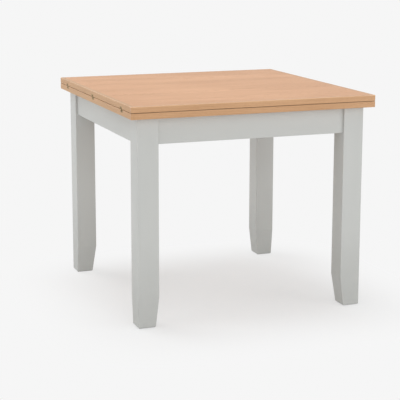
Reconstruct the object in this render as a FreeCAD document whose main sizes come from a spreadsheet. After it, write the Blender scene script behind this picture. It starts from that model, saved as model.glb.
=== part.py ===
import FreeCAD, Part
import math
import os
from types import SimpleNamespace

import Sketcher
from FreeCAD import Placement, Rotation, Vector

# Swivel extending table: a square top of two stacked leaves on a painted four-legged frame.
# The stacked leaves turn a quarter turn on an off-centre pivot, then the upper leaf flips over
# on three double-pivot hinges and doubles the length of the top.
#
# Millimetres.  Origin on the floor under the centre of the folded top, +Z up, +X to the right
# along the front edge, +Y towards the back.  The hinged edge of the folded top is at -X.

doc = FreeCAD.newDocument("swivel_extending_table")

# ---------------------------------------------------------------------------------------------
# Driving dimensions
# ---------------------------------------------------------------------------------------------

DRIVING_SIZES = (
    # overall
    ("top_side", 900, "side of the square folded top"),
    ("table_height", 770, "floor to the upper face"),
    ("leaf_thickness", 21, "thickness of one leaf"),
    ("leaf_gap", 1, "gap between the stacked leaves"),
    ("overhang", 30, "top edge to the outer faces of the legs"),
    # leaves
    ("lipping_width", 12, "solid wood band round each veneered core"),
    ("leaf_corner_radius", 2, "upright corners of a leaf"),
    ("leaf_outer_radius", 1.5, "arrises of the face that is outside when folded"),
    ("leaf_inner_radius", 0.8, "arrises of the face that is inside when folded"),
    ("buffer_radius", 6, "soft dots between the leaves"),
    ("buffer_thickness", 0.8, "less than leaf_gap, so that they clear"),
    ("buffer_inset", 60, "leaf edge to the centre of a dot"),
    # frame
    ("leg_side", 75, "square leg"),
    ("leg_edge_radius", 1.5, "upright edges of a leg"),
    ("leg_foot_bevel", 3, "bottom edges of a leg"),
    ("taper_inset", 13, "how far the inner faces come in at the foot"),
    ("taper_height", 105, "height of the tapered foot"),
    ("apron_height", 90, "apron board"),
    ("apron_thickness", 22, "apron board"),
    ("apron_setback", 8, "leg face to apron face"),
    ("apron_edge_radius", 1.5, "lower arrises of an apron"),
    ("slide_gap", 1.5, "top of the frame to the lower leaf"),
    # feet
    ("foot_pad_radius", 12, "nail-on foot glide"),
    ("foot_pad_thickness", 2.5, "nail-on foot glide"),
    ("foot_nail_radius", 1.5, "nail of the foot glide"),
    ("foot_nail_length", 15, "nail of the foot glide"),
    # rails
    ("rail_margin", 5, "rail edge to swivel plate"),
    ("rail_thickness", 22, "cross rail under the top"),
    ("rail_end_gap", 0.5, "rail end to apron"),
    ("rail_screw_edge", 15, "rail edge to the screw next to it"),
    ("cleat_side", 22, "batten that carries the rails"),
    ("cleat_gap", 5, "cleat end to corner block"),
    ("cleat_screw_gap", 20, "rail edge to the cleat screw next to it"),
    # corner joints
    ("leg_flat", 16, "depth of the flat on the inner corner of a leg"),
    ("block_thickness", 25, "diagonal corner block"),
    ("block_margin", 6, "corner block to the rails and to the lower edge of the aprons"),
    ("block_pocket_radius", 5.5, "pocket for a screw head"),
    ("block_grip", 14, "wood left under a screw head"),
    ("block_screw_edge", 8, "edge of a block to its screws"),
    ("dowel_radius", 4, "apron dowel"),
    ("dowel_length", 40, "apron dowel"),
    ("dowel_edge", 23, "edge of an apron to its dowels"),
    ("hanger_radius", 4, "hanger bolt"),
    ("hanger_clearance", 0.25, "hanger bolt in its block and washer"),
    ("hanger_depth", 40, "hanger bolt inside the leg"),
    ("hanger_edge", 10, "edge of a block to its bolts"),
    ("hanger_tail", 12, "hanger bolt past the corner block"),
    ("washer_radius", 9, "washer of a hanger bolt"),
    ("washer_thickness", 1.6, "washer of a hanger bolt"),
    ("nut_radius", 7.4, "across the corners of the nut, halved"),
    ("nut_height", 6.5, "nut of a hanger bolt"),
    # screws: head radius, head height, shank radius and length of each kind
    ("frame_screw_head", 4, "block, rail and cleat screws"),
    ("frame_screw_sink", 2.6, "block, rail and cleat screws"),
    ("frame_screw_shank", 2, "block, rail and cleat screws"),
    ("frame_screw_length", 34, "rail and cleat screws"),
    ("block_screw_length", 28, "corner block screws"),
    ("plate_screw_head", 4.4, "swivel plate screws"),
    ("plate_screw_sink", 2.6, "swivel plate screws"),
    ("plate_screw_shank", 2.2, "swivel plate screws"),
    ("plate_screw_length", 16, "swivel plate screws"),
    ("hinge_screw_head", 2.9, "hinge screws"),
    ("hinge_screw_sink", 1.9, "hinge screws"),
    ("hinge_screw_shank", 1.4, "hinge screws"),
    ("hinge_screw_length", 30, "hinge screws"),
    # slides
    ("glide_radius", 8, "button that the lower leaf slides on"),
    ("glide_seat", 2.8, "depth of a button in the wood"),
    ("glide_clearance", 0.3, "button to leaf"),
    ("rail_glide_reach", 200, "support rail buttons, from the middle"),
    # swivel
    ("plate_side", 110, "square swivel plate"),
    ("plate_corner_radius", 8, "corners of a swivel plate"),
    ("plate_thickness", 3, "swivel plate"),
    ("plate_gap", 1.2, "between the two swivel plates"),
    ("plate_screw_edge", 12, "edge of a swivel plate to its screws"),
    ("bearing_radius", 24, "bearing washer between the plates"),
    ("bearing_thickness", 1, "less than plate_gap"),
    ("pivot_radius", 5, "pivot bolt shank"),
    ("pivot_clearance", 0.1, "round the pivot bolt"),
    ("pivot_head_radius", 12, "pivot bolt head, let into the lower leaf"),
    ("pivot_head_height", 5, "pivot bolt head"),
    ("pivot_head_clearance", 0.2, "round the head"),
    ("pivot_end_play", 0.2, "rail to the washer under it"),
    ("pivot_tail", 3, "pivot bolt past its nut"),
    ("pivot_washer_radius", 13, "washer under the pivot rail"),
    ("pivot_washer_thickness", 2.5, "washer under the pivot rail"),
    ("pivot_nut_radius", 9.2, "across the corners of the nut, halved"),
    ("pivot_nut_height", 9, "locking nut"),
    ("bush_radius", 8, "bush in the pivot rail"),
    ("stop_orbit", 34, "stop pin, from the pivot"),
    ("stop_radius", 4, "stop pin"),
    ("stop_clearance", 0.2, "stop pin in its slot"),
    # hinges
    ("hinge_spacing", 343, "between neighbouring hinges"),
    ("hinge_pin_depth", 2.6, "inner face of a leaf to the pin"),
    ("hinge_pin_radius", 1.1, "hinge pin"),
    ("hinge_pin_clearance", 0.05, "round the pin in the link"),
    ("hinge_pin_grip", 1.5, "pin inside each cheek"),
    ("hinge_roll_inset", 0.3, "how much smaller than the pin depth the arris roll is"),
    ("butt_gap", 0.6, "between the leaves when they lie open"),
    ("link_width", 10, "hinge link along its pins"),
    ("link_end_radius", 2.3, "round ends of a link"),
    ("link_play", 0.3, "link to the slot it turns in"),
    ("link_side_gap", 0.2, "link to the cheeks"),
    ("hinge_plate_depth", 10, "hinge plate, into the leaf"),
    ("hinge_plate_height", 9, "hinge plate, across the leaf"),
    ("hinge_narrow_cheek", 1.8, "cheek without a screw"),
    ("hinge_wide_cheek", 9.8, "cheek with a screw"),
    ("hinge_screw_land", 0.1, "arris roll to the screw head"),
)


class Size:
    """A length together with the sheet expression that gives it."""

    def __init__(self, value, text):
        self.value = value
        self.text = text

    def __add__(self, other):
        return joined(self, "+", other, self.value + as_size(other).value)

    def __sub__(self, other):
        return joined(self, "-", other, self.value - as_size(other).value)

    def __mul__(self, other):
        return joined(self, "*", other, self.value * as_size(other).value)

    def __truediv__(self, other):
        return joined(self, "/", other, self.value / as_size(other).value)

    def __neg__(self):
        return self * -1


def as_size(item):
    """Let plain numbers stand where sizes are expected."""
    if isinstance(item, Size):
        return item
    return Size(float(item), f"({float(item)})")


def joined(first, sign, second, value):
    """Join two sizes into one expression."""
    return Size(value, f"({first.text} {sign} {as_size(second).text})")


sheet = doc.addObject("Spreadsheet::Sheet", "Sizes")
sz = SimpleNamespace()
for row, (alias, number, meaning) in enumerate(DRIVING_SIZES, start=1):
    sheet.set(f"A{row}", str(number))
    sheet.setAlias(f"A{row}", alias)
    sheet.set(f"B{row}", meaning)
    setattr(sz, alias, Size(float(number), f"Sizes.{alias}"))
doc.recompute()

# ---------------------------------------------------------------------------------------------
# Worked-out places
# ---------------------------------------------------------------------------------------------

BEYOND = 5.0                       # how far a cutter reaches past what it cuts
ROOT_TWO = math.sqrt(2.0)
half_top = sz.top_side / 2
leg_outer = half_top - sz.overhang
leg_inner = leg_outer - sz.leg_side
apron_outer = leg_outer - sz.apron_setback
apron_inner = apron_outer - sz.apron_thickness

lower_leaf_bottom = sz.table_height - sz.leaf_thickness * 2 - sz.leaf_gap
lower_leaf_top = lower_leaf_bottom + sz.leaf_thickness
upper_leaf_bottom = lower_leaf_top + sz.leaf_gap
frame_top = lower_leaf_bottom - sz.slide_gap
apron_bottom = frame_top - sz.apron_height
leg_height = frame_top - sz.foot_pad_thickness

# A quarter turn about this point brings the hinged edge of the folded top over the middle of
# the frame, so that the opened top is centred on it.
pivot_x = -sz.top_side / 4
pivot_y = sz.top_side / 4

top_plate_bottom = lower_leaf_bottom - sz.plate_thickness
base_plate_top = top_plate_bottom - sz.plate_gap
rail_top = base_plate_top - sz.plate_thickness
rail_bottom = rail_top - sz.rail_thickness
rail_width = sz.plate_side + sz.rail_margin * 2
cleat_bottom = rail_bottom - sz.cleat_side

# Corner frame: a and b are measured inwards from the outer faces of a leg, along the two
# aprons that meet there.  Lines of constant a + b run across the corner.
inner_offset = sz.apron_setback + sz.apron_thickness
block_near = sz.leg_side * 2 - sz.leg_flat
block_far = block_near + sz.block_thickness * ROOT_TWO
block_bottom = apron_bottom + sz.block_margin
block_top = rail_bottom - sz.block_margin
cleat_half = leg_outer - (block_far - inner_offset) - sz.cleat_gap

# Hinge: both pins lie hinge_pin_depth from the inner face of their leaf.  The link turns a
# quarter on the lower pin and the upper leaf a quarter on the link, so that the leaves end
# level, butt_gap apart.
link_length = sz.hinge_pin_depth * 2 + sz.leaf_gap
pin_inset = (link_length - sz.butt_gap) / 2
roll_radius = sz.hinge_pin_depth - sz.hinge_roll_inset
hinge_screw_depth = roll_radius + sz.hinge_screw_land + sz.hinge_screw_head
slot_reach = sz.link_end_radius + sz.link_play
cheek_start = sz.link_width / 2 + sz.link_side_gap

TURN = (Rotation(Vector(0, 0, 1), 0), Rotation(Vector(0, 0, 1), 90),
        Rotation(Vector(0, 0, 1), 180), Rotation(Vector(0, 0, 1), 270))
UPRIGHT = TURN[0]
UPSIDE_DOWN = Rotation(Vector(1, 0, 0), 180)
ALONG_X = Rotation(Vector(0, 0, -1), Vector(1, 0, 0))       # head at -X, point towards +X
ALONG_MINUS_Y = Rotation(Vector(0, 0, -1), Vector(0, -1, 0))
ALONG_PLUS_Y = Rotation(Vector(0, 0, -1), Vector(0, 1, 0))
ALONG_MINUS_X = Rotation(Vector(0, 0, -1), Vector(-1, 0, 0))
TO_LEG = Rotation(Vector(0, 0, -1), Vector(-1, -1, 0))      # down the diagonal of corner 0

parts = []                         # the finished sub-parts, each with its own Label

# ---------------------------------------------------------------------------------------------
# Helpers
# ---------------------------------------------------------------------------------------------


def bind(item, prop, size):
    """Tie a property to the sheet."""
    item.setExpression(prop, as_size(size).text)


def place(item, x=0, y=0, z=0, rotation=UPRIGHT):
    """Put an object at a place that follows the sheet."""
    item.Placement = Placement(Vector(0, 0, 0), rotation)
    bind(item, "Placement.Base.x", x)
    bind(item, "Placement.Base.y", y)
    bind(item, "Placement.Base.z", z)
    return item


def part(label, item):
    """Name a finished sub-part."""
    item.Label = label
    parts.append(item)
    return item


def box(name, length, width, height, x=0, y=0, z=0, rotation=UPRIGHT):
    item = doc.addObject("Part::Box", name)
    bind(item, "Length", length)
    bind(item, "Width", width)
    bind(item, "Height", height)
    return place(item, x, y, z, rotation)


def cylinder(name, radius, height, x=0, y=0, z=0, rotation=UPRIGHT):
    item = doc.addObject("Part::Cylinder", name)
    bind(item, "Radius", radius)
    bind(item, "Height", height)
    return place(item, x, y, z, rotation)


def cone(name, low_radius, high_radius, height, z=0):
    item = doc.addObject("Part::Cone", name)
    bind(item, "Radius1", low_radius)
    bind(item, "Radius2", high_radius)
    bind(item, "Height", height)
    return place(item, z=z)


def fused(name, *items):
    item = doc.addObject("Part::MultiFuse", name)
    item.Shapes = list(items)
    item.Refine = True
    return item


def group(name, items):
    """Gather separate solids into one object."""
    item = doc.addObject("Part::Compound", name)
    item.Links = list(items)
    return item


def cut(name, base, *tools):
    """Cut the tools out of the base one after another, and make sure that they meet it."""
    item = base
    for number, tool in enumerate(tools, start=1):
        before = item
        item = doc.addObject("Part::Cut", f"{name}_cut_{number}")
        item.Base = before
        item.Tool = tool
    doc.recompute([item])
    if tools and item.Shape.Volume >= base.Shape.Volume - 1e-6:
        raise RuntimeError(f"{name}: its cutters remove nothing")
    return item


def common(name, base, tool):
    item = doc.addObject("Part::Common", name)
    item.Base = base
    item.Tool = tool
    return item


def copies(name, master, places):
    """Repeat a master solid at each (x, y, z, rotation)."""
    links = []
    for x, y, z, rotation in places:
        link = doc.addObject("App::Link", f"{name}_copy")
        link.LinkedObject = master
        links.append(place(link, x, y, z, rotation))
    item = group(name, links)
    doc.recompute()
    return item


def corner_point(corner, a, b):
    """Turn corner-frame distances into X and Y; corners 0 to 3 run anticlockwise from -X -Y."""
    spots = (
        (-leg_outer + a, -leg_outer + b),
        (leg_outer - b, -leg_outer + a),
        (leg_outer - a, leg_outer - b),
        (-leg_outer + b, leg_outer - a),
    )
    return spots[corner]


def new_body(name):
    return doc.addObject("PartDesign::Body", name)


def outline(body, name, role, points, lift=0):
    """Draw a closed outline on one of the body's own planes, each corner tied to the sheet."""
    sketch = body.newObject("Sketcher::SketchObject", name)
    plane = next(item for item in body.Origin.OriginFeatures if item.Role == role)
    sketch.AttachmentSupport = [(plane, "")]
    sketch.MapMode = "FlatFace"
    bind(sketch, "AttachmentOffset.Base.z", lift)
    corners = [(as_size(u), as_size(v)) for u, v in points]
    for index, (u, v) in enumerate(corners):
        next_u, next_v = corners[(index + 1) % len(corners)]
        start = Vector(u.value, v.value, 0)
        end = Vector(next_u.value, next_v.value, 0)
        sketch.addGeometry(Part.LineSegment(start, end))
    for index in range(len(corners)):
        following = (index + 1) % len(corners)
        sketch.addConstraint(Sketcher.Constraint("Coincident", index, 2, following, 1))
    for index, corner in enumerate(corners):
        for direction, size in zip(("DistanceX", "DistanceY"), corner):
            number = sketch.addConstraint(Sketcher.Constraint(direction, index, 1, size.value))
            sketch.setExpression(f"Constraints[{number}]", size.text)
    return sketch


def pad(body, name, sketch, length):
    item = body.newObject("PartDesign::Pad", name)
    item.Profile = sketch
    bind(item, "Length", length)
    doc.recompute()
    return item


def pocket(body, name, sketch, length=None, backwards=False):
    """Cut a sketch out of the body, and make sure that it removes something."""
    before = body.Shape.Volume
    item = body.newObject("PartDesign::Pocket", name)
    item.Profile = sketch
    item.Reversed = backwards
    if length is None:
        item.Type = "ThroughAll"
    else:
        bind(item, "Length", length)
    doc.recompute()
    if body.Shape.Volume >= before - 1e-6:
        raise RuntimeError(f"{body.Name}: pocket {name} removes nothing")
    return item


def round_edges(body, name, radius, wanted):
    """Round the edges of the body that wanted() accepts."""
    base = body.Tip
    names = [f"Edge{number}" for number, edge in enumerate(base.Shape.Edges, start=1)
             if wanted(edge)]
    item = body.newObject("PartDesign::Fillet", name)
    item.Base = (base, names)
    bind(item, "Radius", radius)
    doc.recompute()
    return item


def runs_along(edge, direction):
    """Tell whether a straight edge runs along a direction."""
    span = edge.Vertexes[-1].Point - edge.Vertexes[0].Point
    return abs(span.normalize() * direction) > 0.999


def rectangle(low_u, low_v, high_u, high_v):
    return ((low_u, low_v), (high_u, low_v), (high_u, high_v), (low_u, high_v))


def wood_screw(name, head, sink, shank, length):
    """Make a countersunk cross-head screw and its hole: head flush at z = 0, point down."""
    head_cone = cone(f"{name}_head", shank, head, sink, z=-sink)
    body = cylinder(f"{name}_shank", shank, length - shank * 2, z=shank * 2 - length)
    point = cone(f"{name}_point", shank / 10, shank, shank * 2, z=-length)
    hole = fused(f"{name}_hole", head_cone, body, point)
    slot = head / 4
    arms = [box(f"{name}_slot", head, slot, sink, -head / 2, -slot / 2, -sink / 2),
            box(f"{name}_slot", slot, head, sink, -slot / 2, -head / 2, -sink / 2)]
    screw = cut(f"{name}_screw", hole, fused(f"{name}_recess", *arms))
    return screw, hole


def fasteners(label, kind, places):
    """Make a labelled group of fasteners, and the matching group of holes."""
    screw, hole = kind
    part(label, copies(f"{label}_group", screw, places))
    return copies(f"{label}_holes", hole, places)


# ---------------------------------------------------------------------------------------------
# Fasteners of the frame
# ---------------------------------------------------------------------------------------------

frame_screw = wood_screw("frame_screw", sz.frame_screw_head, sz.frame_screw_sink,
                         sz.frame_screw_shank, sz.frame_screw_length)
block_screw = wood_screw("block_screw", sz.frame_screw_head, sz.frame_screw_sink,
                         sz.frame_screw_shank, sz.block_screw_length)
plate_screw = wood_screw("plate_screw", sz.plate_screw_head, sz.plate_screw_sink,
                         sz.plate_screw_shank, sz.plate_screw_length)
hinge_screw = wood_screw("hinge_screw", sz.hinge_screw_head, sz.hinge_screw_sink,
                         sz.hinge_screw_shank, sz.hinge_screw_length)


def make_dowels():
    """Two dowels at each apron end, half in the apron and half in the leg."""
    dowel = cylinder("dowel", sz.dowel_radius, sz.dowel_length)
    line = sz.apron_setback + sz.apron_thickness / 2
    start = sz.leg_side + sz.dowel_length / 2
    places = []
    for corner, turn in enumerate(TURN):
        for height in (apron_bottom + sz.dowel_edge, frame_top - sz.dowel_edge):
            x, y = corner_point(corner, start, line)
            places.append((x, y, height, turn * Rotation(Vector(0, 0, 1), Vector(-1, 0, 0))))
            x, y = corner_point(corner, line, start)
            places.append((x, y, height, turn * Rotation(Vector(0, 0, 1), Vector(0, -1, 0))))
    return part("apron_dowels", copies("dowels", dowel, places))


def make_hanger_bolts():
    """Two bolts per corner along its diagonal, with washers and nuts on the block."""
    length = sz.hanger_depth + sz.block_thickness + sz.hanger_tail
    shank = cylinder("hanger_shank", sz.hanger_radius, length - sz.hanger_radius,
                     z=sz.hanger_radius - length)
    tip = cone("hanger_tip", sz.hanger_radius / 2, sz.hanger_radius, sz.hanger_radius, z=-length)
    bolt = fused("hanger_bolt", shank, tip)
    ring = cylinder("hanger_washer", sz.washer_radius, sz.washer_thickness)
    free_radius = sz.hanger_radius + sz.hanger_clearance
    washer = cut("hanger_washer_ring", ring,
                 cylinder("hanger_washer_bore", free_radius, sz.washer_thickness))
    prism = doc.addObject("Part::Prism", "hanger_nut_blank")
    prism.Polygon = 6
    bind(prism, "Circumradius", sz.nut_radius)
    bind(prism, "Height", sz.nut_height)
    nut = cut("hanger_nut", prism, cylinder("hanger_nut_bore", sz.hanger_radius, sz.nut_height))

    def spread(name, master, distance):
        """Repeat a master at all bolts, a distance from the flat of the leg."""
        reach = (block_near + distance * ROOT_TWO) / 2
        places = []
        for corner, turn in enumerate(TURN):
            x, y = corner_point(corner, reach, reach)
            for height in (block_bottom + sz.hanger_edge, block_top - sz.hanger_edge):
                places.append((x, y, height, turn * TO_LEG))
        return copies(name, master, places)

    part("hanger_bolt_washers", spread("washer_group", washer, sz.block_thickness))
    part("hanger_bolt_nuts", spread("nut_group", nut, sz.block_thickness + sz.washer_thickness))
    bolts = part("hanger_bolts", spread("bolt_group", bolt, sz.block_thickness + sz.hanger_tail))
    drill = cylinder("hanger_drill", free_radius, sz.block_thickness + BEYOND * 2)
    return bolts, spread("hanger_holes", drill, -BEYOND)


def make_block_screws():
    """Two screws through each end of each corner block, heads sunk in pockets."""
    side = (block_near + block_far) / 2 - inner_offset
    head_at = inner_offset + sz.block_grip
    places = []
    for corner, turn in enumerate(TURN):
        for height in (block_bottom + sz.block_screw_edge, block_top - sz.block_screw_edge):
            along = corner_point(corner, side, head_at)
            across = corner_point(corner, head_at, side)
            places.append((*along, height, turn * ALONG_MINUS_Y))
            places.append((*across, height, turn * ALONG_MINUS_X))
    drill = cylinder("block_pocket", sz.block_pocket_radius, sz.block_thickness * 2)
    pockets = copies("block_pockets", drill, places)
    return fasteners("corner_block_screws", block_screw, places), pockets


def make_foot_glides():
    """A nail-on glide under each leg, in the middle of the tapered foot."""
    disc = cylinder("foot_disc", sz.foot_pad_radius, sz.foot_pad_thickness)
    nail = cylinder("foot_nail", sz.foot_nail_radius, sz.foot_pad_thickness + sz.foot_nail_length)
    glide = fused("foot_glide", disc, nail)
    middle = (sz.leg_side - sz.taper_inset) / 2
    places = [(*corner_point(corner, middle, middle), 0, UPRIGHT) for corner in range(4)]
    return part("foot_glides", copies("foot_glide_group", glide, places))


def make_glide_buttons():
    """Slippery buttons in the tops of the legs and aprons, under the lower leaf."""
    seat = frame_top - sz.glide_seat
    button = cylinder("glide_button", sz.glide_radius,
                      lower_leaf_bottom - sz.glide_clearance - seat)
    middle = sz.leg_side / 2
    line = leg_outer - sz.apron_setback - sz.apron_thickness / 2
    places = [(*corner_point(corner, middle, middle), seat, UPRIGHT) for corner in range(4)]
    places += [(0, -line, seat, UPRIGHT), (line, 0, seat, UPRIGHT),
               (0, line, seat, UPRIGHT), (-line, 0, seat, UPRIGHT)]
    return part("frame_glide_buttons", copies("glide_button_group", button, places))


dowels = make_dowels()
hanger_bolts, block_bolt_holes = make_hanger_bolts()
block_screw_holes, block_pockets = make_block_screws()
foot_glides = make_foot_glides()
glide_buttons = make_glide_buttons()

# ---------------------------------------------------------------------------------------------
# Legs, aprons and corner blocks
# ---------------------------------------------------------------------------------------------


def make_leg(corner, label):
    """A square leg whose two inner faces taper at the foot, with a flat for its block."""
    body = new_body(f"{label}_body")
    square = outline(body, f"{label}_square", "XY_Plane",
                     rectangle(0, 0, sz.leg_side, sz.leg_side))
    pad(body, f"{label}_pad", square, leg_height)
    foot = sz.leg_side - sz.taper_inset
    wedge = ((foot, 0), (sz.leg_side, sz.taper_height),
             (sz.leg_side + BEYOND, sz.taper_height), (sz.leg_side + BEYOND, -BEYOND),
             (foot - sz.taper_inset * BEYOND / sz.taper_height, -BEYOND))
    sides = (("XZ_Plane", False), ("YZ_Plane", True))
    for role, backwards in sides:
        taper = outline(body, f"{label}_taper", role, wedge)
        pocket(body, f"{label}_taper_cut", taper, backwards=backwards)
    round_edges(body, f"{label}_eased", sz.leg_edge_radius,
                lambda edge: edge.BoundBox.ZLength > sz.taper_height.value * 0.9)
    bevel_reach = sz.leg_foot_bevel + BEYOND
    bevels = (((-BEYOND, -BEYOND), (bevel_reach, -BEYOND), (-BEYOND, bevel_reach)),
              ((foot - bevel_reach, -BEYOND), (foot + BEYOND, -BEYOND),
               (foot + BEYOND, bevel_reach)))
    for role, backwards in sides:
        for corner_waste in bevels:
            bevel = outline(body, f"{label}_bevel", role, corner_waste)
            pocket(body, f"{label}_bevel_cut", bevel, backwards=backwards)
    reach = block_near - sz.leg_side
    side = sz.leg_side + BEYOND
    flat = outline(body, f"{label}_flat", "XY_Plane",
                   ((side, reach - BEYOND), (side, side), (reach - BEYOND, side)),
                   lift=leg_height)
    pocket(body, f"{label}_flat_cut", flat, leg_height - (block_bottom - sz.foot_pad_thickness))
    x, y = corner_point(corner, 0, 0)
    place(body, x, y, sz.foot_pad_thickness, TURN[corner])
    return part(label, cut(label, body, dowels, hanger_bolts, foot_glides, glide_buttons))


def make_apron(side, label, extra_holes):
    """An apron board between two legs; side 0 is the front, then anticlockwise."""
    body = new_body(f"{label}_body")
    board = outline(body, f"{label}_board", "XY_Plane",
                    rectangle(-leg_inner, 0, leg_inner, sz.apron_thickness))
    pad(body, f"{label}_pad", board, sz.apron_height)
    round_edges(body, f"{label}_eased", sz.apron_edge_radius,
                lambda edge: edge.BoundBox.ZMax < 0.01 and runs_along(edge, Vector(1, 0, 0)))
    spots = ((0, -apron_outer), (apron_outer, 0), (0, apron_outer), (-apron_outer, 0))
    x, y = spots[side]
    place(body, x, y, apron_bottom, TURN[side])
    return part(label, cut(label, body, dowels, block_screw_holes, glide_buttons, *extra_holes))


def make_corner_block(corner, label):
    """A diagonal block that ties a leg to its two aprons."""
    body = new_body(f"{label}_body")
    plan = ((block_near - inner_offset, inner_offset), (block_far - inner_offset, inner_offset),
            (inner_offset, block_far - inner_offset), (inner_offset, block_near - inner_offset))
    sketch = outline(body, f"{label}_plan", "XY_Plane", plan)
    pad(body, f"{label}_pad", sketch, block_top - block_bottom)
    x, y = corner_point(corner, 0, 0)
    place(body, x, y, block_bottom, TURN[corner])
    return part(label, cut(label, body, block_bolt_holes, block_screw_holes, block_pockets))


CORNERS = ("front_left", "front_right", "back_right", "back_left")
for number, corner_name in enumerate(CORNERS):
    make_leg(number, f"leg_{corner_name}")
    make_corner_block(number, f"corner_block_{corner_name}")

# ---------------------------------------------------------------------------------------------
# Cross rails and their cleats
# ---------------------------------------------------------------------------------------------

rail_end = apron_inner - sz.rail_end_gap
cleat_line = apron_inner - sz.cleat_side / 2

rail_inner_edge = pivot_x + rail_width / 2
rail_screw_places = []
for screw_x in (pivot_x, rail_inner_edge - sz.rail_screw_edge):
    for side in (-1, 1):
        for end in (-1, 1):
            rail_screw_places.append((screw_x * side, cleat_line * end, rail_top, UPRIGHT))
rail_screw_holes = fasteners("rail_screws", frame_screw, rail_screw_places)


def make_cleat(label, side, direction):
    """A batten screwed to the inside of an apron, under the rail ends."""
    face = (apron_inner - sz.cleat_side) * side
    low = face if side > 0 else -apron_inner
    batten = box(f"{label}_batten", cleat_half * 2, sz.cleat_side, sz.cleat_side,
                 -cleat_half, low, cleat_bottom)
    middle = cleat_bottom + sz.cleat_side / 2
    pitch = rail_inner_edge + sz.cleat_screw_gap
    places = [(pitch * step, face, middle, direction) for step in (-1, 0, 1)]
    holes = fasteners(f"{label}_screws", frame_screw, places)
    part(label, cut(label, batten, holes, rail_screw_holes))
    return holes


front_cleat_holes = make_cleat("rail_cleat_front", -1, ALONG_MINUS_Y)
back_cleat_holes = make_cleat("rail_cleat_back", 1, ALONG_PLUS_Y)

make_apron(0, "apron_front", [front_cleat_holes])
make_apron(1, "apron_right", [])
make_apron(2, "apron_back", [back_cleat_holes])
make_apron(3, "apron_left", [])


def rail_board(name, middle_x):
    return box(name, rail_width, rail_end * 2, sz.rail_thickness,
               middle_x - rail_width / 2, -rail_end, rail_bottom)


def make_support_rail():
    """The rail on the right, with two tall buttons that hold up the lower leaf."""
    seat = rail_top - sz.glide_seat
    button = cylinder("rail_button", sz.glide_radius,
                      lower_leaf_bottom - sz.glide_clearance - seat)
    places = [(-pivot_x, sz.rail_glide_reach * step, seat, UPRIGHT) for step in (-1, 1)]
    buttons = part("rail_glide_buttons", copies("rail_button_group", button, places))
    part("support_rail", cut("support_rail", rail_board("support_board", -pivot_x),
                             rail_screw_holes, buttons))


make_support_rail()

# ---------------------------------------------------------------------------------------------
# Swivel
# ---------------------------------------------------------------------------------------------

running_radius = sz.pivot_radius + sz.pivot_clearance
pivot_washer_top = rail_bottom - sz.pivot_end_play
pivot_nut_top = pivot_washer_top - sz.pivot_washer_thickness
pivot_end = pivot_nut_top - sz.pivot_nut_height - sz.pivot_tail
stop_bottom = rail_top + sz.stop_clearance
STOP_START = -45                    # direction of the stop pin at rest, degrees from +X
STOP_SWEEP = 90


def pivot_cylinder(name, radius, bottom, top):
    return cylinder(name, radius, top - bottom, pivot_x, pivot_y, bottom)


def on_orbit(degrees):
    """Give the point of the stop pin's circle in a direction."""
    angle = math.radians(degrees)
    return (pivot_x + sz.stop_orbit * math.cos(angle), pivot_y + sz.stop_orbit * math.sin(angle))


def plate_screw_places(height, rotation):
    reach = sz.plate_side / 2 - sz.plate_screw_edge
    return [(pivot_x + reach * east, pivot_y + reach * north, height, rotation)
            for east in (-1, 1) for north in (-1, 1)]


def plate_blank(name, bottom):
    """A square steel plate with round corners, centred on the pivot."""
    body = new_body(f"{name}_body")
    half = sz.plate_side / 2
    square = outline(body, f"{name}_square", "XY_Plane", rectangle(-half, -half, half, half))
    pad(body, f"{name}_pad", square, sz.plate_thickness)
    round_edges(body, f"{name}_corners", sz.plate_corner_radius,
                lambda edge: runs_along(edge, Vector(0, 0, 1)))
    return place(body, pivot_x, pivot_y, bottom)


def stop_slot():
    """A quarter-turn slot round the pivot, with round ends, for the stop pin."""
    half_width = sz.stop_radius + sz.stop_clearance
    bottom = rail_top - BEYOND
    height = sz.plate_thickness + BEYOND * 2
    sector = cylinder("slot_sector", sz.stop_orbit + half_width, height,
                      rotation=Rotation(Vector(0, 0, 1), STOP_START))
    sector.Angle = STOP_SWEEP
    core = cylinder("slot_core", sz.stop_orbit - half_width, height)
    ring = place(cut("slot_ring", sector, core), pivot_x, pivot_y, bottom)
    ends = [cylinder("slot_end", half_width, height, *on_orbit(angle), bottom)
            for angle in (STOP_START, STOP_START + STOP_SWEEP)]
    return fused("stop_slot", ring, *ends)


def make_swivel_base():
    """What stays with the frame: pivot rail, bush, base plate and bearing washer."""
    bore = pivot_cylinder("running_bore", running_radius, rail_bottom - BEYOND,
                          lower_leaf_bottom + BEYOND)
    holes = fasteners("base_plate_screws", plate_screw, plate_screw_places(base_plate_top, UPRIGHT))
    bush_blank = pivot_cylinder("bush_blank", sz.bush_radius, rail_bottom, rail_top)
    part("pivot_bush", cut("pivot_bush", bush_blank, bore))
    part("pivot_rail", cut("pivot_rail", rail_board("pivot_board", pivot_x),
                           rail_screw_holes, bush_blank, holes))
    part("swivel_base_plate", cut("base_plate", plate_blank("base_plate", rail_top),
                                  bore, stop_slot(), holes))
    washer = pivot_cylinder("bearing_blank", sz.bearing_radius, base_plate_top,
                            base_plate_top + sz.bearing_thickness)
    part("swivel_bearing_washer", cut("bearing_washer", washer, bore))


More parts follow.
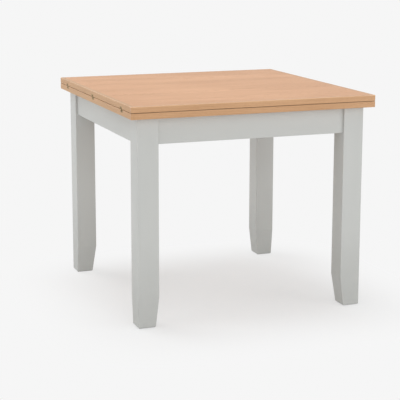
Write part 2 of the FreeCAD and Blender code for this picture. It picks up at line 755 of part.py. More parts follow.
def make_swivel_top():
    """What turns with the lower leaf: top plate, stop pin, pivot bolt, washer and nut."""
    head = pivot_cylinder("pivot_head", sz.pivot_head_radius, lower_leaf_bottom,
                          lower_leaf_bottom + sz.pivot_head_height)
    shank = pivot_cylinder("pivot_shank", sz.pivot_radius, pivot_end, lower_leaf_bottom)
    bolt = part("pivot_bolt", fused("pivot_bolt_solid", head, shank))
    pin = part("swivel_stop_pin",
               cylinder("stop_pin", sz.stop_radius, lower_leaf_bottom - stop_bottom,
                        *on_orbit(STOP_START), stop_bottom))
    holes = fasteners("top_plate_screws", plate_screw,
                      plate_screw_places(top_plate_bottom, UPSIDE_DOWN))
    part("swivel_top_plate", cut("top_plate", plate_blank("top_plate", top_plate_bottom),
                                 bolt, pin, holes))
    washer = pivot_cylinder("pivot_washer_blank", sz.pivot_washer_radius, pivot_nut_top,
                            pivot_washer_top)
    part("pivot_washer", cut("pivot_washer_ring", washer, bolt))
    prism = doc.addObject("Part::Prism", "pivot_nut_blank")
    prism.Polygon = 6
    bind(prism, "Circumradius", sz.pivot_nut_radius)
    bind(prism, "Height", sz.pivot_nut_height)
    place(prism, pivot_x, pivot_y, pivot_nut_top - sz.pivot_nut_height)
    part("pivot_lock_nut", cut("pivot_nut", prism, bolt))
    recess = pivot_cylinder("pivot_head_recess", sz.pivot_head_radius + sz.pivot_head_clearance,
                            lower_leaf_bottom - BEYOND,
                            lower_leaf_bottom + sz.pivot_head_height + sz.pivot_head_clearance)
    return recess, holes


make_swivel_base()
leaf_recess, leaf_screw_holes = make_swivel_top()

# ---------------------------------------------------------------------------------------------
# Hinges, in the frame of one leaf: its inner face at z = 0, its middle at x = y = 0, and its
# hinged edge at -X.  The upper leaf is the same, turned over.
# ---------------------------------------------------------------------------------------------

plate_low_y = -(cheek_start + sz.hinge_wide_cheek)
plate_length = cheek_start * 2 + sz.hinge_wide_cheek + sz.hinge_narrow_cheek
pin_half = cheek_start + sz.hinge_pin_grip
hinge_rows = (-sz.hinge_spacing, 0, sz.hinge_spacing)
pin_x = -half_top + pin_inset


def at_hinges(x, y, z, rotation=UPRIGHT):
    """Repeat one place at the three hinges."""
    return [(x, as_size(row) + y, z, rotation) for row in hinge_rows]


def arris_roll(name, low_y, length):
    """The waste outside the rounded inner arris of a hinged edge at x = 0, z = 0."""
    waste = box(f"{name}_waste", roll_radius + BEYOND, length, roll_radius + BEYOND,
                -BEYOND, low_y, -roll_radius)
    rod = cylinder(f"{name}_rod", roll_radius, length, roll_radius, low_y, -roll_radius,
                   Rotation(Vector(0, 0, 1), Vector(0, 1, 0)))
    return cut(f"{name}_roll", waste, rod)


def make_hinge_masters():
    """One hinge plate, its pin and its mortise, with the arris of the leaf at the origin."""
    blank = box("hinge_plate_blank", sz.hinge_plate_depth, plate_length, sz.hinge_plate_height,
                0, plate_low_y, -sz.hinge_plate_height)
    slot_back = pin_inset + slot_reach
    slot_floor = sz.hinge_pin_depth + slot_reach
    slot = box("link_slot", slot_back + BEYOND, cheek_start * 2, slot_floor + BEYOND,
               -BEYOND, -cheek_start, -slot_floor)
    pin_hole = cylinder("hinge_pin_hole", sz.hinge_pin_radius, pin_half * 2, pin_inset,
                        -pin_half, -sz.hinge_pin_depth, Rotation(Vector(0, 0, 1), Vector(0, 1, 0)))
    screw_hole = copies("hinge_plate_screw_hole", hinge_screw[1],
                        [(0, screw_y, -hinge_screw_depth, ALONG_X)])
    roll = arris_roll("plate", plate_low_y - BEYOND, plate_length + BEYOND * 2)
    plate = cut("hinge_plate", blank, slot, pin_hole, screw_hole, roll)
    return group("hinge_mortise", [blank]), plate


screw_y = -(cheek_start + sz.hinge_wide_cheek / 2)
mortise, hinge_plate = make_hinge_masters()
hinge_pin = cylinder("hinge_pin", sz.hinge_pin_radius, pin_half * 2)


def make_hinge_links():
    """Three figure-eight links, each with a running hole for both pins."""
    width = sz.link_width
    lay = Rotation(Vector(0, 0, 1), Vector(0, 1, 0))
    web = box("link_web", sz.link_end_radius * 2, width, link_length,
              -sz.link_end_radius, -width / 2, 0)
    ends = [cylinder("link_end", sz.link_end_radius, width, 0, -width / 2, height, lay)
            for height in (0, link_length)]
    bore = sz.hinge_pin_radius + sz.hinge_pin_clearance
    holes = [cylinder("link_hole", bore, width, 0, -width / 2, height, lay)
             for height in (0, link_length)]
    link = cut("hinge_link", fused("link_solid", web, *ends), *holes)
    part("hinge_links", copies("hinge_link_group", link,
                               at_hinges(pin_x, 0, lower_leaf_top - sz.hinge_pin_depth)))


make_hinge_links()

# ---------------------------------------------------------------------------------------------
# Leaves
# ---------------------------------------------------------------------------------------------


def leaf_block(name):
    """The outer form of a leaf, with eased corners and arrises."""
    body = new_body(f"{name}_body")
    square = outline(body, f"{name}_square", "XY_Plane",
                     rectangle(-half_top, -half_top, half_top, half_top),
                     lift=-sz.leaf_thickness)
    pad(body, f"{name}_pad", square, sz.leaf_thickness)
    round_edges(body, f"{name}_corners", sz.leaf_corner_radius,
                lambda edge: runs_along(edge, Vector(0, 0, 1)))
    round_edges(body, f"{name}_outer_arris", sz.leaf_outer_radius,
                lambda edge: edge.BoundBox.ZMax < -sz.leaf_thickness.value * 0.9)
    round_edges(body, f"{name}_inner_arris", sz.leaf_inner_radius,
                lambda edge: edge.BoundBox.ZMin > -sz.leaf_thickness.value * 0.1)
    return body


def make_leaf(prefix, height, rotation, core_cutters):
    """Core, four lippings and hinge half of one leaf, put in place at a height."""
    def seat(item):
        return place(item, 0, 0, height, rotation)

    block = leaf_block(prefix)
    inner = half_top - sz.lipping_width
    deep = sz.leaf_thickness
    plates = copies(f"{prefix}_plates", hinge_plate, at_hinges(-half_top, 0, 0))
    mortises = copies(f"{prefix}_mortises", mortise, at_hinges(-half_top, 0, 0))
    pins = copies(f"{prefix}_pins", hinge_pin,
                  at_hinges(pin_x, -pin_half, -sz.hinge_pin_depth,
                            Rotation(Vector(0, 0, 1), Vector(0, 1, 0))))
    screw_places = at_hinges(-half_top, screw_y, -hinge_screw_depth, ALONG_X)
    screw_holes = fasteners(f"{prefix}_hinge_screws", hinge_screw, screw_places)
    seat(parts[-1])
    part(f"{prefix}_hinge_plates", seat(plates))
    part(f"{prefix}_hinge_pins", seat(pins))

    core = box(f"{prefix}_panel", inner * 2, inner * 2, deep, -inner, -inner, -deep)
    core = seat(cut(f"{prefix}_core", core, screw_holes))
    part(f"{prefix}_core", cut(f"{prefix}_core_fitted", core, *core_cutters))

    roll = place(arris_roll(prefix, -half_top - BEYOND, sz.top_side + BEYOND * 2), x=-half_top)
    long_side = sz.top_side + BEYOND * 2
    band = sz.lipping_width + BEYOND
    # Turning a leaf over swaps its front and its back.
    low_y_side, high_y_side = ("front", "back") if rotation is UPRIGHT else ("back", "front")
    strips = (
        (low_y_side, box(f"{prefix}_strip", long_side, band, deep, -half_top - BEYOND,
                         -half_top - BEYOND, -deep), [roll]),
        (high_y_side, box(f"{prefix}_strip", long_side, band, deep, -half_top - BEYOND,
                          inner, -deep), [roll]),
        ("hinge_side", box(f"{prefix}_strip", band, inner * 2, deep, -half_top - BEYOND,
                           -inner, -deep), [mortises, screw_holes, roll]),
        ("right", box(f"{prefix}_strip", band, inner * 2, deep, inner, -inner, -deep), []),
    )
    for side, strip, cutters in strips:
        lipping = common(f"{prefix}_{side}_strip", block, strip)
        doc.recompute([block, strip, lipping])
        part(f"{prefix}_lipping_{side}", seat(cut(f"{prefix}_{side}", lipping, *cutters)))


make_leaf("lower_leaf", lower_leaf_top, UPRIGHT, [leaf_recess, leaf_screw_holes])
make_leaf("upper_leaf", upper_leaf_bottom, UPSIDE_DOWN, [])


def make_buffers():
    """Soft dots on the lower leaf that keep the folded leaves apart."""
    reach = half_top - sz.buffer_inset
    dot = cylinder("buffer", sz.buffer_radius, sz.buffer_thickness)
    places = [(reach * east, reach * north, lower_leaf_top, UPRIGHT)
              for east in (-1, 1) for north in (-1, 1)]
    part("leaf_buffers", copies("buffer_group", dot, places))


make_buffers()

# ---------------------------------------------------------------------------------------------
# Checks and files
# ---------------------------------------------------------------------------------------------

doc.recompute()
for item in doc.Objects:
    if {"Invalid", "Error"} & set(item.State):
        raise RuntimeError(f"{item.Name} failed: {item.State}")

os.makedirs("parts", exist_ok=True)
for item in parts:
    if item.Shape.isNull() or not item.Shape.isValid() or not item.Shape.Solids:
        raise RuntimeError(f"{item.Label} has no valid solid")
    item.Shape.exportStep(os.path.join("parts", f"{item.Label}.step"))
    print(f"{item.Label}: {len(item.Shape.Solids)} solids, {item.Shape.Volume / 1000:.1f} cm3")
print(f"{len(parts)} sub-parts")
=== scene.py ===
import math
from typing import NamedTuple

import bpy
from mathutils import Matrix, Vector


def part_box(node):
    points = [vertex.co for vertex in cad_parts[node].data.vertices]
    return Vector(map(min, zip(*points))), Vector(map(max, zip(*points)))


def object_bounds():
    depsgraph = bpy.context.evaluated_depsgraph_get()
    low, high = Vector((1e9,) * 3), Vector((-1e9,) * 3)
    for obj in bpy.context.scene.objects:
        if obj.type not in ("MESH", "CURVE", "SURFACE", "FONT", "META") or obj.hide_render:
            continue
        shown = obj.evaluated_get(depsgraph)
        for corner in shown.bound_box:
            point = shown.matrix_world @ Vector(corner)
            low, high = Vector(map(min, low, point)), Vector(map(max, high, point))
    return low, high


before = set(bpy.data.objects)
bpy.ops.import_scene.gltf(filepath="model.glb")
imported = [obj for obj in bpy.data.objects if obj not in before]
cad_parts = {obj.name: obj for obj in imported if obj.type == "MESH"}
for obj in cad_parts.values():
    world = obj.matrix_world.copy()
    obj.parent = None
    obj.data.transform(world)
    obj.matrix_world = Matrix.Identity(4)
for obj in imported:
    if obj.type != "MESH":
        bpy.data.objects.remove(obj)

# Looks of the swivel extending table: the finish of each piece, a pale floor, studio light and
# the camera.  Metres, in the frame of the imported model: +Z up, the front of the table at -Y and
# its hinged edge at -X.  Colours are linear, with an alpha of 1.

cad_box = [list(corner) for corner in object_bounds()]

# ---------------------------------------------------------------------------------------------
# Shader building
# ---------------------------------------------------------------------------------------------

MIDDLE = (0.3, 0.7)                 # the range that most values of a noise pattern lie in
PIECE_SHIFT = (3.17, 0.171, 0.093)  # how far the patterns move from one piece to the next
MIX_FIRST = 6                       # the colour sockets of a mix node
MIX_SECOND = 7
MIX_RESULT = 2


def grey(level):
    """A grey colour, its level from 0, black, to 1, white."""
    return (level, level, level, 1)


class Graph:
    """Short names for making and linking shader nodes."""

    def __init__(self, tree):
        self.tree = tree

    def feed(self, socket, value):
        """Set a socket, or link it to another."""
        if isinstance(value, bpy.types.NodeSocket):
            self.tree.links.new(value, socket)
        else:
            socket.default_value = value

    def node(self, kind, inputs, **settings):
        """A new node with these settings, its inputs set or linked by name or number."""
        item = self.tree.nodes.new(kind)
        for key, value in settings.items():
            setattr(item, key, value)
        for key, value in inputs.items():
            self.feed(item.inputs[key], value)
        return item

    def math(self, operation, *values):
        return self.node("ShaderNodeMath", dict(enumerate(values)), operation=operation).outputs[0]

    def vector(self, operation, *values):
        item = self.node("ShaderNodeVectorMath", dict(enumerate(values)), operation=operation)
        return item.outputs["Value"] if operation == "LENGTH" else item.outputs["Vector"]

    def combined(self, x, y, z):
        return self.node("ShaderNodeCombineXYZ", {0: x, 1: y, 2: z}).outputs[0]

    def parts(self, vector):
        """The sockets X, Y and Z of a vector."""
        return self.node("ShaderNodeSeparateXYZ", {0: vector}).outputs

    def remap(self, value, low, high, to_low=0.0, to_high=1.0):
        """Move a value from one range to another, smoothly and no further than its ends."""
        inputs = {"Value": value, "From Min": low, "From Max": high,
                  "To Min": to_low, "To Max": to_high}
        item = self.node("ShaderNodeMapRange", inputs, interpolation_type="SMOOTHSTEP")
        return item.outputs[0]

    def blend(self, factor, first, second):
        """Mix two shaders."""
        inputs = {0: factor, 1: first.outputs[0], 2: second.outputs[0]}
        return self.node("ShaderNodeMixShader", inputs)

    def seen_directly(self):
        """1 for rays that show the background: camera, glossy and transmission rays."""
        path = self.node("ShaderNodeLightPath", {}).outputs
        total = self.math("MAXIMUM", path["Is Camera Ray"], path["Is Glossy Ray"])
        return self.math("MAXIMUM", total, path["Is Transmission Ray"])


class Shader(Graph):
    """A material with one principled shader, and patterns that feed it."""

    def __init__(self, name, constants):
        self.material = bpy.data.materials.new(name)
        self.material.use_nodes = True
        super().__init__(self.material.node_tree)
        self.surface = next(n for n in self.tree.nodes if n.type == "BSDF_PRINCIPLED")
        for key, value in constants.items():
            self.surface.inputs[key].default_value = value
        self.coordinates = self.node("ShaderNodeTexCoord", {}).outputs["Object"]

    def grain_frame(self, along, seed, heading=0.0):
        """Coordinates with X along the grain, moved so that no two pieces are alike.  A piece
        that stands askew has its heading, the angle from X to its length."""
        turned = self.node("ShaderNodeVectorRotate", {"Vector": self.coordinates,
                           "Angle": -heading}, rotation_type="Z_AXIS").outputs[0]
        parts = self.parts(turned)
        order = {"x": "XYZ", "y": "YXZ", "z": "ZXY"}[along]
        turned = self.combined(*[parts[letter] for letter in order])
        return self.vector("ADD", turned, [seed * step for step in PIECE_SHIFT])

    def noise(self, place, scale, detail, roughness=0.5):
        """A noise pattern of 0 to 1, its scale in features per metre along X, Y and Z."""
        inputs = {"Vector": self.vector("MULTIPLY", place, scale), "Scale": 1.0,
                  "Detail": detail, "Roughness": roughness}
        return self.node("ShaderNodeTexNoise", inputs).outputs[0]

    def mix(self, factor, first, second):
        """Mix two colours."""
        item = self.node("ShaderNodeMix", {0: factor}, data_type="RGBA")
        self.feed(item.inputs[MIX_FIRST], first)
        self.feed(item.inputs[MIX_SECOND], second)
        return item.outputs[MIX_RESULT]

    def bump(self, height, distance, strength):
        inputs = {"Height": height, "Distance": distance, "Strength": strength}
        return self.node("ShaderNodeBump", inputs).outputs[0]

    def finish(self, colour, roughness, normal):
        """Feed the surface, and give the material."""
        self.feed(self.surface.inputs["Base Color"], colour)
        self.feed(self.surface.inputs["Roughness"], roughness)
        self.feed(self.surface.inputs["Normal"], normal)
        return self.material


# ---------------------------------------------------------------------------------------------
# Wood
# ---------------------------------------------------------------------------------------------


class Wood(NamedTuple):
    """A kind of wood: its tones, the strength of its figure, its roughness, and its painted
    highlight and painted shade.
    """

    light: tuple
    dark: tuple
    pore: tuple
    contrast: float
    roughness: float
    arris_highlight: float = 0.0             # painted highlight along the outer arrises of the top
    gap_shade: float = 0.0              # painted shade along the gap between the leaves


class Rings(NamedTuple):
    """Growth rings: their width, and the pattern and the size of their straying."""

    width: float
    wander: tuple
    stray: float


OAK_PORE = (0.29, 0.125, 0.050, 1)
VENEER = Wood(light=(0.735, 0.402, 0.208, 1), dark=(0.52, 0.255, 0.112, 1), pore=OAK_PORE,
              contrast=1.0, roughness=0.40)
LIPPING = Wood(light=(0.61, 0.365, 0.199, 1), dark=(0.445, 0.240, 0.117, 1), pore=OAK_PORE,
               contrast=0.7, roughness=0.40, arris_highlight=0.5, gap_shade=0.36)
# The lippings in the hinged edge are a little darker and get less of the painted highlight
HINGE_SIDE = Wood(light=(0.570, 0.346, 0.180, 1), dark=(0.418, 0.229, 0.106, 1), pore=OAK_PORE,
                  contrast=0.7, roughness=0.40, arris_highlight=0.3)
PLAIN_WOOD = Wood(light=(0.68, 0.53, 0.37, 1), dark=(0.56, 0.40, 0.25, 1),
                  pore=(0.42, 0.28, 0.16, 1), contrast=0.6, roughness=0.65)
WOOD_GLOSS = {"IOR": 1.45, "Specular IOR Level": 0.30}          # low, as with matt lacquer

# Patterns: features per metre along and across the grain, and detail
FIBRES = ((5.0, 260.0, 260.0), 3.0)
WOOD_CLOUDS = ((1.6, 7.0, 7.0), 2.0)
STREAKS = ((14.0, 520.0, 520.0), 1.0)
PORES = ((75.0, 1900.0, 1900.0), 1.0)

# The values of a pattern at which it starts to show and shows in full
FIBRE_RANGE = (0.3, 0.75)
STREAK_RANGE = (0.60, 0.78)
PORE_RANGE = (0.56, 0.70)

EARLY_WOOD = 0.45                   # the share of a ring in which its dark tone dies away
RING_WEIGHT = 0.42                  # how much of the dark tone each pattern brings
FIBRE_WEIGHT = 0.42
CLOUD_WEIGHT = 0.45
STREAK_WEIGHT = 0.40
PORE_WEIGHT = 0.60                  # how much of their own tone the pores show
LATE_PORES = 0.35                   # how strong they are outside the early wood
PORE_DULLING = 0.18                 # how much rougher they are than the rest
FIBRE_HEIGHT = 0.25                 # as a share of the pores' depth
WOOD_RELIEF = (0.00012, 0.6)        # distance and strength

SOLID_RINGS = Rings(width=0.0028, wander=((2.2, 14.0, 14.0), 2.0), stray=0.010)
RING_SLOPE = 0.035                  # how much the rings change along the grain, against across
HEART_OFFSET = (0.0, 0.31, 0.17)    # the grain frame's origin, seen from the heart of the tree

VENEER_RINGS = Rings(width=0.0042, wander=((3.5, 22.0, 22.0), 2.0), stray=0.009)
CROWN_WIDTH = 0.146
CROWN_STRAY = 0.25                  # share of its width that a crown may be cut off its middle
CROWN_DEPTH = (0.012, 0.095)        # least and most distance from the heart of the tree
DRIFT = ((0.8, 1.0, 1.0), 1.0)      # how that distance changes along the grain
DRIFT_RANGE = (0.25, 0.75)
DRIFT_SPREAD = 90.0                 # sets the crowns far apart in this pattern, so none are alike

PAINTED_HIGHLIGHT = (0.84, 0.560, 0.360, 1)    # painted highlight along the outer arrises of the top
PAINTED_HIGHLIGHT_REACH = (0.0012, 0.0036)     # in full up to the first distance, not past the second
PAINTED_GAP_SHADE = (0.10, 0.055, 0.028, 1)     # painted shade along the gap between the leaves
GAP_SHADE_REACH = (0.0010, 0.0020)

side_distance = cad_box[1][0]       # of the folded top, from the middle
top_height = cad_box[1][2]
gap_height = (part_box("lower_leaf_core")[1].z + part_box("upper_leaf_core")[0].z) / 2


def arris_mask(shader, height, reach):
    """1 on the sides of the folded top at a height, and 0 from a few millimetres away."""
    parts = shader.parts(shader.coordinates)
    widest = shader.math("MAXIMUM", shader.math("ABSOLUTE", parts["X"]),
                         shader.math("ABSOLUTE", parts["Y"]))
    from_side = shader.math("SUBTRACT", side_distance, widest)
    from_height = shader.math("ABSOLUTE", shader.math("SUBTRACT", height, parts["Z"]))
    return shader.remap(shader.math("MAXIMUM", from_side, from_height), *reach, 1.0, 0.0)


def arris_light_and_shade(shader, colour, wood):
    """Paint a highlight on the outer arrises, and shade on those along the gap between the leaves.
    """
    # painted highlight on the outer arrises of the top
    if wood.arris_highlight:
        outer = arris_mask(shader, top_height, PAINTED_HIGHLIGHT_REACH)
        colour = shader.mix(shader.math("MULTIPLY", outer, wood.arris_highlight), colour, PAINTED_HIGHLIGHT)
    # painted shade on the arrises along the gap between the leaves
    if wood.gap_shade:
        inner = arris_mask(shader, gap_height, GAP_SHADE_REACH)
        colour = shader.mix(shader.math("MULTIPLY", inner, wood.gap_shade), colour, PAINTED_GAP_SHADE)
    return colour


def growth_rings(shader, place, radius, rings):
    """A pattern that goes from 0 to 1 across each ring, from a distance from the heart."""
    wander = shader.noise(place, *rings.wander)
    radius = shader.math("MULTIPLY_ADD", wander, rings.stray, radius)
    return shader.math("FRACT", shader.math("DIVIDE", radius, rings.width))


def wood_surface(shader, place, ring, wood):
    """Turn growth rings into wood: early wood, fibres, clouds, streaks and pores, in colour,
    gloss and relief."""
    early = shader.remap(ring, 0.0, EARLY_WOOD, 1.0, 0.0)
    fibre = shader.noise(place, *FIBRES)
    cloud = shader.noise(place, *WOOD_CLOUDS)
    streak = shader.noise(place, *STREAKS)
    figure = (
        (early, RING_WEIGHT),
        (shader.remap(fibre, *FIBRE_RANGE), FIBRE_WEIGHT),
        (shader.remap(cloud, *MIDDLE), CLOUD_WEIGHT),
        (shader.remap(streak, *STREAK_RANGE), STREAK_WEIGHT),
    )
    shade = 0.0
    for pattern, weight in figure:
        shade = shader.math("MULTIPLY_ADD", pattern, weight * wood.contrast, shade)
    colour = shader.mix(shade, wood.light, wood.dark)

    pores = shader.remap(shader.noise(place, *PORES), *PORE_RANGE)
    gate = shader.math("MULTIPLY_ADD", early, 1.0 - LATE_PORES, LATE_PORES)
    pores = shader.math("MULTIPLY", pores, gate)
    colour = shader.mix(shader.math("MULTIPLY", pores, PORE_WEIGHT), colour, wood.pore)
    colour = arris_light_and_shade(shader, colour, wood)

    height = shader.math("SUBTRACT", shader.math("MULTIPLY", fibre, FIBRE_HEIGHT), pores)
    roughness = shader.math("MULTIPLY_ADD", pores, PORE_DULLING, wood.roughness)
    return shader.finish(colour, roughness, shader.bump(height, *WOOD_RELIEF))


def veneer(name, seed):
    """Crown-cut oak veneer with its arches along X.  Each crown is cut in two near its middle,
    and the outer edges of its halves are joined, so there is a seam at each half width."""
    shader = Shader(name, WOOD_GLOSS)
    place = shader.grain_frame("x", seed)
    parts = shader.parts(place)
    crown_number = shader.math("FLOOR", shader.math("DIVIDE", parts["Y"], CROWN_WIDTH))
    chance = shader.node("ShaderNodeTexWhiteNoise", {"W": crown_number},
                         noise_dimensions="1D").outputs["Value"]
    across = shader.math("WRAP", parts["Y"], CROWN_WIDTH / 2, -CROWN_WIDTH / 2)
    most_stray = CROWN_STRAY * CROWN_WIDTH
    stray = shader.math("MULTIPLY_ADD", chance, 2 * most_stray, -most_stray)
    across = shader.math("SUBTRACT", across, stray)
    lane = shader.combined(parts["X"], shader.math("MULTIPLY", chance, DRIFT_SPREAD), 0.0)
    depth = shader.remap(shader.noise(lane, *DRIFT), *DRIFT_RANGE, *CROWN_DEPTH)
    radius = shader.vector("LENGTH", shader.combined(across, depth, 0.0))
    ring = growth_rings(shader, place, radius, VENEER_RINGS)
    return wood_surface(shader, place, ring, VENEER)


def solid_wood(name, along, seed, wood, heading=0.0):
    """Straight-grained solid wood, with rings about an axis outside the piece."""
    shader = Shader(name, WOOD_GLOSS)
    place = shader.grain_frame(along, seed, heading)
    flat = shader.vector("MULTIPLY", place, (RING_SLOPE, 1.0, 1.0))
    radius = shader.vector("LENGTH", shader.vector("ADD", flat, HEART_OFFSET))
    ring = growth_rings(shader, place, radius, SOLID_RINGS)
    return wood_surface(shader, place, ring, wood)


# ---------------------------------------------------------------------------------------------
# Paint
# ---------------------------------------------------------------------------------------------

PAINT = (0.522, 0.530, 0.512, 1)
PAINT_SHADE = (0.502, 0.510, 0.492, 1)
# painted shade: the tone the paint darkens to near the floor
PAINT_FLOOR_SHADE = (0.462, 0.468, 0.450, 1)
PAINT_GLOSS = {"IOR": 1.45}
PAINT_CLOUDS = ((2.0, 7.0, 7.0), 2.0)
PAINT_ROUGHNESS = (0.40, 0.50)      # least and most
# Painted shade near the floor: its uneven pattern, its strength and how high it reaches
FLOOR_SHADE_NOISE = ((14.0, 30.0, 30.0), 3.0)
FLOOR_SHADE_RANGE = (0.3, 0.6)
FLOOR_SHADE_SHARE = (0.75, 1.0)           # least and most
FLOOR_SHADE_HEIGHT = (0.05, 0.34)         # full up to the first height, and none past the second
FLOOR_SHADE_DULLING = 0.06                # how much rougher the paint is where it has the painted shade near the floor
ORANGE_PEEL = ((420.0, 420.0, 420.0), 1.0)
PEEL_HEIGHT = 0.35                  # shares of the relief
PAINTED_GRAIN = ((9.0, 340.0, 340.0), 2.0)
GRAIN_HEIGHT = 0.65
PAINT_RELIEF = (0.00006, 0.5)


def paint(name, along, seed):
    """Satin paint on hardwood: a faint orange peel over the grain that shows through, with
    painted shade that darkens it unevenly towards the floor, where it is a little duller too."""
    shader = Shader(name, PAINT_GLOSS)
    place = shader.grain_frame(along, seed)
    cloud = shader.noise(place, *PAINT_CLOUDS)
    colour = shader.mix(shader.remap(cloud, *MIDDLE), PAINT, PAINT_SHADE)

    # Painted shade: the paint darkens unevenly towards the floor, and is a little rougher there
    above_floor = shader.parts(shader.coordinates)["Z"]
    floor_shade = shader.remap(shader.noise(place, *FLOOR_SHADE_NOISE), *FLOOR_SHADE_RANGE, *FLOOR_SHADE_SHARE)
    low_down = shader.remap(above_floor, *FLOOR_SHADE_HEIGHT, 1.0, 0.0)
    floor_shade = shader.math("MULTIPLY", floor_shade, low_down)
    colour = shader.mix(floor_shade, colour, PAINT_FLOOR_SHADE)
    roughness = shader.remap(cloud, *MIDDLE, *PAINT_ROUGHNESS)
    roughness = shader.math("MULTIPLY_ADD", floor_shade, FLOOR_SHADE_DULLING, roughness)

    grain = shader.math("MULTIPLY", shader.noise(place, *PAINTED_GRAIN), GRAIN_HEIGHT)
    peel = shader.noise(place, *ORANGE_PEEL)
    height = shader.math("MULTIPLY_ADD", peel, PEEL_HEIGHT, grain)
    return shader.finish(colour, roughness, shader.bump(height, *PAINT_RELIEF))


# ---------------------------------------------------------------------------------------------
# Metal, plastic and felt
# ---------------------------------------------------------------------------------------------

METALS = {                          # bright tone, dull tone, roughness, scale of the scratches
    "hinge_brass": ((0.37, 0.24, 0.09, 1), (0.20, 0.13, 0.05, 1), 0.34, (60.0, 900.0, 900.0)),
    "swivel_steel": ((0.56, 0.56, 0.55, 1), (0.44, 0.44, 0.44, 1), 0.30, (900.0, 60.0, 900.0)),
    "zinc_fasteners": ((0.66, 0.66, 0.64, 1), (0.50, 0.50, 0.49, 1), 0.28, (500.0, 500.0, 60.0)),
}
METAL_CLOUDS = ((90.0, 90.0, 90.0), 3.0)
METAL_RANGE = (0.35, 0.7)           # where the bright tone ends and the dull one is full
METAL_DULLING = 0.15                # how much rougher the metal gets
SCRATCH_DETAIL = 2.0

PLASTICS = {                        # light tone, dark tone, roughness
    "nylon": ((0.82, 0.82, 0.78, 1), (0.76, 0.76, 0.71, 1), 0.45),
    "glide_plastic": ((0.13, 0.13, 0.13, 1), (0.10, 0.10, 0.10, 1), 0.50),
}
PLASTIC_CLOUDS = ((160.0, 160.0, 160.0), 2.0)
SPARKS = ((2600.0, 2600.0, 2600.0), 1.0)
SPARK_DULLING = 0.12                # how much rougher the raised texture is
FINE_RELIEF = (0.00003, 0.5)        # of metal and plastic

FELTS = {                           # light tone, dark tone
    "buffer_felt": ((0.36, 0.25, 0.15, 1), (0.22, 0.15, 0.09, 1)),
}
FELT_SHEEN = {"Sheen Weight": 0.12}
FELT_FIBRES = ((1500.0, 1500.0, 1500.0), 4.0, 0.7)              # and roughness of the noise
FELT_ROUGHNESS = 0.95
FELT_RELIEF = (0.0003, 1.0)


def metal(name, bright, dull, rough, scratch_scale):
    """Plated or aged metal: cloudy tone, fine scratches and uneven gloss."""
    shader = Shader(name, {"Metallic": 1.0})
    cloud = shader.noise(shader.coordinates, *METAL_CLOUDS)
    scratch = shader.noise(shader.coordinates, scratch_scale, SCRATCH_DETAIL)
    colour = shader.mix(shader.remap(cloud, *METAL_RANGE), bright, dull)
    roughness = shader.remap(cloud, *MIDDLE, rough, rough + METAL_DULLING)
    return shader.finish(colour, roughness, shader.bump(scratch, *FINE_RELIEF))


def plastic(name, light, dark, rough):
    """Moulded plastic with a fine spark-eroded texture."""
    shader = Shader(name, {})
    cloud = shader.noise(shader.coordinates, *PLASTIC_CLOUDS)
    spark = shader.noise(shader.coordinates, *SPARKS)
    colour = shader.mix(shader.remap(cloud, *MIDDLE), light, dark)
    roughness = shader.remap(spark, *MIDDLE, rough, rough + SPARK_DULLING)
    return shader.finish(colour, roughness, shader.bump(spark, *FINE_RELIEF))


def felt(name, light, dark):
    """Pressed felt: matted fibres and no gloss."""
    shader = Shader(name, FELT_SHEEN)
    fibre = shader.noise(shader.coordinates, *FELT_FIBRES)
    colour = shader.mix(shader.remap(fibre, *MIDDLE), light, dark)
    return shader.finish(colour, FELT_ROUGHNESS, shader.bump(fibre, *FELT_RELIEF))


# ---------------------------------------------------------------------------------------------
# Which piece has which finish
# ---------------------------------------------------------------------------------------------

GRAINED_SLOTS = ("oak_veneer", "oak_lipping", "plain_wood", "painted_frame")
BLOCK_HEADINGS = {                  # degrees from X to the length of a block across a corner
    "corner_block_front_left": -45,
    "corner_block_back_right": -45,
    "corner_block_front_right": 45,
    "corner_block_back_left": 45,
}


def slot_of(node):
    """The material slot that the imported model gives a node."""
    return node.data.materials[0].name.split(".")[0]


def longest_axis(name):
    """The axis that a piece of wood is longest along, which is where its grain runs."""
    low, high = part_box(name)
    size = high - low
    return "xyz"[max(range(3), key=lambda axis: size[axis])]


def grained_finish(name, slot, seed):
    """The material of one piece of wood, bare or painted, with its grain along its length."""
    title = f"{slot}_{name}"
    if slot == "oak_veneer":
        return veneer(title, seed)
    heading = math.radians(BLOCK_HEADINGS.get(name, 0))
    along = "x" if heading else longest_axis(name)
    if slot == "painted_frame":
        return paint(title, along, seed)
    if slot == "plain_wood":
        return solid_wood(title, along, seed, PLAIN_WOOD, heading)
    wood = HINGE_SIDE if name.endswith("hinge_side") else LIPPING
    return solid_wood(title, along, seed, wood)


def even_finish(slot):
    """The material that all pieces of metal, plastic or felt in one slot share."""
    if slot in METALS:
        return metal(slot, *METALS[slot])
    if slot in PLASTICS:
        return plastic(slot, *PLASTICS[slot])
    return felt(slot, *FELTS[slot])


def dress_nodes():
    """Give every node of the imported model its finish."""
    shared = {}
    for seed, (name, node) in enumerate(sorted(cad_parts.items())):
        slot = slot_of(node)
        if slot in GRAINED_SLOTS:
            material = grained_finish(name, slot, seed)
        else:
            if slot not in shared:
                shared[slot] = even_finish(slot)
            material = shared[slot]
        for index in range(len(node.data.materials)):
            node.data.materials[index] = material


# ---------------------------------------------------------------------------------------------
# Floor and backdrop
# ---------------------------------------------------------------------------------------------

PALE = 0.921                        # level of the floor and backdrop as they are seen
SKY = 0.45                          # even light from all round
FLOOR_REACH = 60.0
FLOOR_TONE = 0.86
FADE_MIDDLE = (0.0, -0.10, 0.0)     # the floor's own shading fades out round this point,
FADE_START = 0.28                   # between these distances
FADE_END = 0.74
SHADOW_FILL = 0.50                  # share of the floor's look that takes no shadow


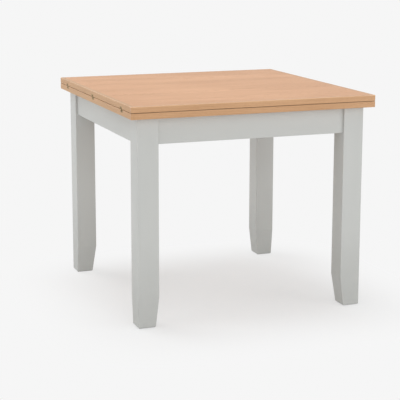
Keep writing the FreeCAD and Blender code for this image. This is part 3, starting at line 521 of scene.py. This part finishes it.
def make_world():
    """An even white sky that lights the object, seen as the pale backdrop."""
    world = bpy.data.worlds.new("studio")
    bpy.context.scene.world = world
    world.use_nodes = True
    graph = Graph(world.node_tree)
    light = graph.tree.nodes["Background"]
    light.inputs["Color"].default_value = grey(1.0)
    light.inputs["Strength"].default_value = SKY
    shown = graph.node("ShaderNodeBackground", {"Color": grey(PALE)})
    surface = graph.blend(graph.seen_directly(), light, shown)
    graph.feed(graph.tree.nodes["World Output"].inputs["Surface"], surface.outputs[0])


def make_floor():
    """A pale floor that keeps the object's shadow, fades into the backdrop further out and
    can be looked through from below."""
    mesh = bpy.data.meshes.new("floor")
    far = FLOOR_REACH
    mesh.from_pydata([(-far, -far, 0), (far, -far, 0), (far, far, 0), (-far, far, 0)], [],
                     [(0, 1, 2, 3)])
    floor = bpy.data.objects.new("floor", mesh)
    bpy.context.scene.collection.objects.link(floor)

    material = bpy.data.materials.new("floor")
    material.use_nodes = True
    mesh.materials.append(material)
    graph = Graph(material.node_tree)
    graph.tree.nodes.clear()
    place = graph.node("ShaderNodeTexCoord", {}).outputs["Object"]
    offset = graph.vector("SUBTRACT", place, FADE_MIDDLE)
    squares = graph.vector("MULTIPLY", offset, offset)
    reach = graph.math("SQRT", graph.vector("LENGTH", squares))     # a square with soft corners
    fade = graph.remap(reach, FADE_START, FADE_END, SHADOW_FILL, 1.0)
    share = graph.math("MULTIPLY", fade, graph.seen_directly())
    matt = graph.node("ShaderNodeBsdfDiffuse", {"Color": grey(FLOOR_TONE)})
    glow = graph.node("ShaderNodeEmission", {"Color": grey(PALE)})
    clear = graph.node("ShaderNodeBsdfTransparent", {})
    from_below = graph.node("ShaderNodeNewGeometry", {}).outputs["Backfacing"]
    surface = graph.blend(from_below, graph.blend(share, matt, glow), clear)
    graph.node("ShaderNodeOutputMaterial", {"Surface": surface.outputs[0]})


# ---------------------------------------------------------------------------------------------
# Lamps and camera
# ---------------------------------------------------------------------------------------------

LAMPS = {                           # place, target, side of the soft box, watts
    "lamp_above": ((0.0, -0.2, 3.2), (0, 0, 0.3), 2.4, 31.0),
    "lamp_front": ((-0.8, -4.5, 2.1), (0, 0, 0.45), 3.6, 61.0),
    "lamp_left": ((-4.6, -0.6, 1.5), (0, 0, 0.45), 2.6, 42.0),
    "lamp_right": ((3.4, -3.4, 0.9), (0, 0, 0.45), 2.0, 48.0),
    "lamp_back": ((-2.7, 3.1, 3.0), (0, 0, 0.45), 3.0, 64.0),
}

FRAME_PIXELS = 400                  # width of the picture
FOCAL_PIXELS = 1253.0               # focal length
SENSOR_WIDTH = 36.0                 # in millimetres, as the lens
CLIP_START = 0.05
CLIP_END = 400.0
CAMERA_SHIFT = -0.05
CAMERA_PLACE = Vector((-1.686, -4.312, 1.334))
CAMERA_YAW = math.radians(-20.93)
CAMERA_PITCH = math.radians(-11.25)
CAMERA_ROLL = math.radians(0.09)


def make_lamp(name, place, target, size, power):
    """A square soft box at a place, facing a target."""
    data = bpy.data.lights.new(name, "AREA")
    data.shape = "SQUARE"
    data.size = size
    data.energy = power
    lamp = bpy.data.objects.new(name, data)
    lamp.location = place
    lamp.rotation_euler = (Vector(target) - Vector(place)).to_track_quat("-Z", "Y").to_euler()
    bpy.context.scene.collection.objects.link(lamp)


def make_camera():
    """The view from the front left, a little above the top."""
    data = bpy.data.cameras.new("camera")
    data.sensor_width = SENSOR_WIDTH
    data.lens = FOCAL_PIXELS / FRAME_PIXELS * SENSOR_WIDTH
    data.shift_y = CAMERA_SHIFT
    data.clip_start = CLIP_START
    data.clip_end = CLIP_END
    camera = bpy.data.objects.new("camera", data)
    bpy.context.scene.collection.objects.link(camera)
    forward = Vector((-math.sin(CAMERA_YAW) * math.cos(CAMERA_PITCH),
                      math.cos(CAMERA_YAW) * math.cos(CAMERA_PITCH), math.sin(CAMERA_PITCH)))
    turn = forward.to_track_quat("-Z", "Y").to_matrix() @ Matrix.Rotation(CAMERA_ROLL, 3, "Z")
    camera.matrix_world = Matrix.Translation(CAMERA_PLACE) @ turn.to_4x4()
    bpy.context.scene.camera = camera


dress_nodes()
make_world()
make_floor()
for lamp_name, lamp_setting in LAMPS.items():
    make_lamp(lamp_name, *lamp_setting)
make_camera()
bpy.context.scene.view_settings.view_transform = "Standard"
